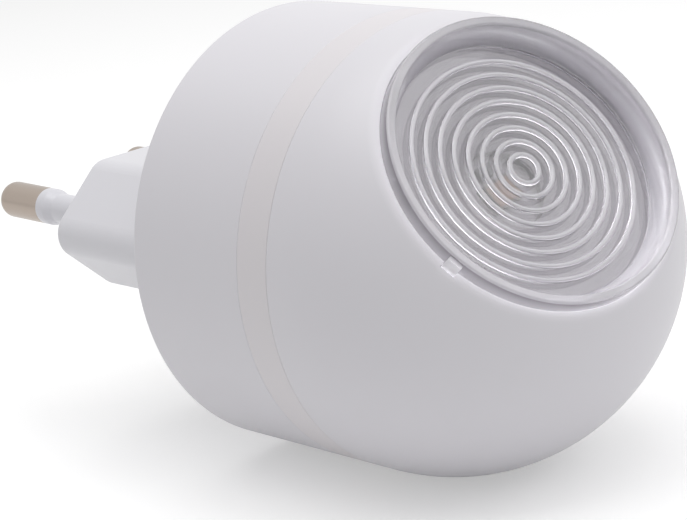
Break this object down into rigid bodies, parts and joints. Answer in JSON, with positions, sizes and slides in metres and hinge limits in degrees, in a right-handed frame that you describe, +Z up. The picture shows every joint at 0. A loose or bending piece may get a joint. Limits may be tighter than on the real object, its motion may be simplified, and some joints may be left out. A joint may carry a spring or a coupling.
{
  "type": "plug-in night light",
  "caption": "Round wall-plug night light whose ball-ended head turns on its base to aim a tilted clear lens with concentric rings.",
  "frame": {"origin": "centre of the base's back face, on the axis that the head turns about", "axes": "+Y goes into the wall along the plug, -Y comes out into the room, +Z is up, and +X runs along the line of the plug's pins, to the right as seen from the room"},
  "size_m": [0.045, 0.0839, 0.0451],
  "materials": {
    "white_housing": "satin moulded ABS",
    "white_plug": "smooth moulded plastic",
    "pin_sleeve": "smooth moulded plastic",
    "collar": "satin moulded polypropylene",
    "inner_plastic": "moulded ABS",
    "screw_steel": "zinc plated",
    "nickel_plate": "nickel plated brass, satin",
    "circuit_board": "solder mask over glass fibre",
    "white_circuit_board": "white solder mask",
    "film_case": "moulded box",
    "capacitor_sleeve": "shrunk sleeve",
    "black_epoxy": "moulded epoxy",
    "fuse_coating": "flame-proof coating",
    "resistor_coating": "lacquer",
    "spring_steel": "oiled spring steel",
    "clear_lens": "clear moulded polystyrene",
    "reflector_plastic": "moulded plastic",
    "led_case": "moulded",
    "phosphor": "yellow phosphor in silicone",
    "sensor_window": "dark epoxy",
    "lead_insulation": "PVC"
  },
  "bodies": {
    "base": {"base_shell": "white_housing", "collar_ring": "collar", "pivot_plate": "inner_plastic", "case_screws": "screw_steel", "plug_body": "white_plug", "plug_pin_left": "nickel_plate", "plug_pin_right": "nickel_plate", "pin_sleeve_left": "pin_sleeve", "pin_sleeve_right": "pin_sleeve", "plug_screws": "screw_steel", "driver_board": "circuit_board", "film_capacitor": "film_case", "smoothing_capacitor": "capacitor_sleeve", "bridge_rectifier": "black_epoxy", "fusible_resistor": "fuse_coating", "bleeder_resistor": "resistor_coating", "switch_transistor": "black_epoxy"},
    "head": {"head_shell": "white_housing", "turntable": "inner_plastic", "turntable_screws": "screw_steel", "friction_washer": "spring_steel", "retaining_clip": "spring_steel", "lens": "clear_lens", "reflector": "reflector_plastic", "lamp_board": "white_circuit_board", "lamp_screws": "screw_steel", "led_package": "led_case", "led_phosphor": "phosphor", "light_sensor": "sensor_window", "lamp_leads": "lead_insulation"}
  },
  "joints": [
    {"name": "head_swivel", "type": "hinge", "parent": "base", "child": "head", "pos_m": [0, -0.0165, 0], "axis": [0, -1, 0], "range_deg": [-182.6, 157.4]}
  ]
}
